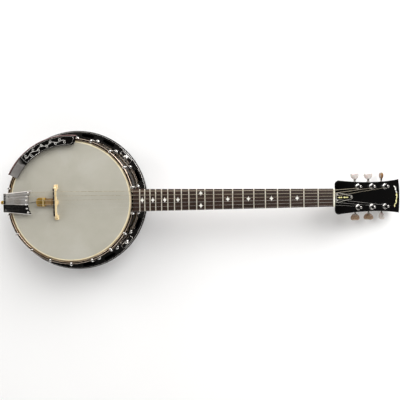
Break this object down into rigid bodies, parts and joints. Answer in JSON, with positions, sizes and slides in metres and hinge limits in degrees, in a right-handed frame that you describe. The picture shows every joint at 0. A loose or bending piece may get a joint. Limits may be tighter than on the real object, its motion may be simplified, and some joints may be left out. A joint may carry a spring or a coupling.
{
  "type": "banjo",
  "caption": "Guitar-necked banjo with a wooden resonator, notched hoop on bracket hooks, fretted neck, geared tuners, armrest, adjustable tailpiece and sliding mute.",
  "frame": {"origin": "centre of the flat back face of the resonator, under the centre of the drum head", "axes": "+X along the neck to the headstock, +Z out of the drum head, +Y towards the bass side and the armrest; the banjo lies on its back"},
  "size_m": [0.9677, 0.337, 0.127],
  "materials": {
    "black_lacquer": "high gloss lacquer over maple ply",
    "maple": "satin varnish",
    "cast_brass": "plain cast",
    "frosted_film": "frosted polyester film with a cream crown",
    "chrome": "bright plate with fine wear",
    "steel": "plain",
    "mahogany": "gloss varnish; the headstock face is black lacquer",
    "rosewood": "oiled, with pearl inlays and nickel-silver frets",
    "bone": "polished",
    "black_plastic": "gloss with a thin white edge",
    "brass": "satin, aged",
    "pearl_plastic": "swirled pearl to amber",
    "string_wire": "plain and bronze-wound wire"
  },
  "bodies": {
    "body": {"resonator": "black_lacquer", "wood_rim": "maple", "tone_ring": "cast_brass", "drum_head": "frosted_film", "tension_hoop": "chrome", "flange": "chrome", "coordinator_rod": "steel", "neck": "mahogany", "truss_rod": "steel", "fingerboard": "rosewood", "nut": "bone", "truss_rod_cover": "black_plastic", "bridge": "maple", "tailpiece_bracket": "chrome", "tailpiece_nut": "brass", "armrest": "chrome", "string_1": "string_wire", "string_2": "string_wire", "string_3": "string_wire", "string_4": "string_wire", "string_5": "string_wire", "string_6": "string_wire", "hook_01": "chrome", "hook_02": "chrome", "hook_03": "chrome", "hook_04": "chrome", "hook_05": "chrome", "hook_06": "chrome", "hook_07": "chrome", "hook_08": "chrome", "hook_09": "chrome", "hook_10": "chrome", "hook_11": "chrome", "hook_12": "chrome", "hook_13": "chrome", "hook_14": "chrome", "hook_15": "chrome", "hook_16": "chrome", "hook_17": "chrome", "hook_18": "chrome", "tuner_1_housing": "chrome", "tuner_2_housing": "chrome", "tuner_3_housing": "chrome", "tuner_4_housing": "chrome", "tuner_5_housing": "chrome", "tuner_6_housing": "chrome"},
    "tailpiece": {"tailpiece": "chrome"},
    "mute": {"mute": "brass"},
    "tuner_1_post": {"tuner_1_post": "chrome"},
    "tuner_1_button": {"tuner_1_button": "pearl_plastic"},
    "tuner_2_post": {"tuner_2_post": "chrome"},
    "tuner_2_button": {"tuner_2_button": "pearl_plastic"},
    "tuner_3_post": {"tuner_3_post": "chrome"},
    "tuner_3_button": {"tuner_3_button": "pearl_plastic"},
    "tuner_4_post": {"tuner_4_post": "chrome"},
    "tuner_4_button": {"tuner_4_button": "pearl_plastic"},
    "tuner_5_post": {"tuner_5_post": "chrome"},
    "tuner_5_button": {"tuner_5_button": "pearl_plastic"},
    "tuner_6_post": {"tuner_6_post": "chrome"},
    "tuner_6_button": {"tuner_6_button": "pearl_plastic"}
  },
  "joints": [
    {"name": "tailpiece_tilt", "type": "hinge", "parent": "body", "child": "tailpiece", "pos_m": [-0.1455, -0.0025, 0.1172], "axis": [0, 1, 0], "range_deg": [0, 3]},
    {"name": "mute_slide", "type": "slide", "parent": "body", "child": "mute", "axis": [1, 0, 0], "range_m": [-0.006, 0]},
    {"name": "tuner_1_button_turn", "type": "hinge", "parent": "body", "child": "tuner_1_button", "pos_m": [0.68166, 0.025, 0.04454], "axis": [0, 1, 0], "continuous": true},
    {"name": "tuner_1_post_turn", "type": "hinge", "parent": "body", "child": "tuner_1_post", "pos_m": [0.68187, 0.025, 0.06748], "axis": [0.2924, 0, 0.9563], "continuous": true},
    {"name": "tuner_2_button_turn", "type": "hinge", "parent": "body", "child": "tuner_2_button", "pos_m": [0.71943, 0.025, 0.033], "axis": [0, 1, 0], "continuous": true},
    {"name": "tuner_2_post_turn", "type": "hinge", "parent": "body", "child": "tuner_2_post", "pos_m": [0.71965, 0.025, 0.05593], "axis": [0.2924, 0, 0.9563], "continuous": true},
    {"name": "tuner_3_button_turn", "type": "hinge", "parent": "body", "child": "tuner_3_button", "pos_m": [0.7572, 0.025, 0.02145], "axis": [0, 1, 0], "continuous": true},
    {"name": "tuner_3_post_turn", "type": "hinge", "parent": "body", "child": "tuner_3_post", "pos_m": [0.75742, 0.025, 0.04439], "axis": [0.2924, 0, 0.9563], "continuous": true},
    {"name": "tuner_4_button_turn", "type": "hinge", "parent": "body", "child": "tuner_4_button", "pos_m": [0.68166, -0.025, 0.04454], "axis": [0, -1, 0], "continuous": true},
    {"name": "tuner_4_post_turn", "type": "hinge", "parent": "body", "child": "tuner_4_post", "pos_m": [0.68187, -0.025, 0.06748], "axis": [0.2924, 0, 0.9563], "continuous": true},
    {"name": "tuner_5_button_turn", "type": "hinge", "parent": "body", "child": "tuner_5_button", "pos_m": [0.71943, -0.025, 0.033], "axis": [0, -1, 0], "continuous": true},
    {"name": "tuner_5_post_turn", "type": "hinge", "parent": "body", "child": "tuner_5_post", "pos_m": [0.71965, -0.025, 0.05593], "axis": [0.2924, 0, 0.9563], "continuous": true},
    {"name": "tuner_6_button_turn", "type": "hinge", "parent": "body", "child": "tuner_6_button", "pos_m": [0.7572, -0.025, 0.02145], "axis": [0, -1, 0], "continuous": true},
    {"name": "tuner_6_post_turn", "type": "hinge", "parent": "body", "child": "tuner_6_post", "pos_m": [0.75742, -0.025, 0.04439], "axis": [0.2924, 0, 0.9563], "continuous": true}
  ],
  "couplings": [
    {"joint": "tuner_1_post_turn", "follows": "tuner_1_button_turn", "ratio": -0.071429},
    {"joint": "tuner_2_post_turn", "follows": "tuner_2_button_turn", "ratio": -0.071429},
    {"joint": "tuner_3_post_turn", "follows": "tuner_3_button_turn", "ratio": -0.071429},
    {"joint": "tuner_4_post_turn", "follows": "tuner_4_button_turn", "ratio": -0.071429},
    {"joint": "tuner_5_post_turn", "follows": "tuner_5_button_turn", "ratio": -0.071429},
    {"joint": "tuner_6_post_turn", "follows": "tuner_6_button_turn", "ratio": -0.071429}
  ]
}
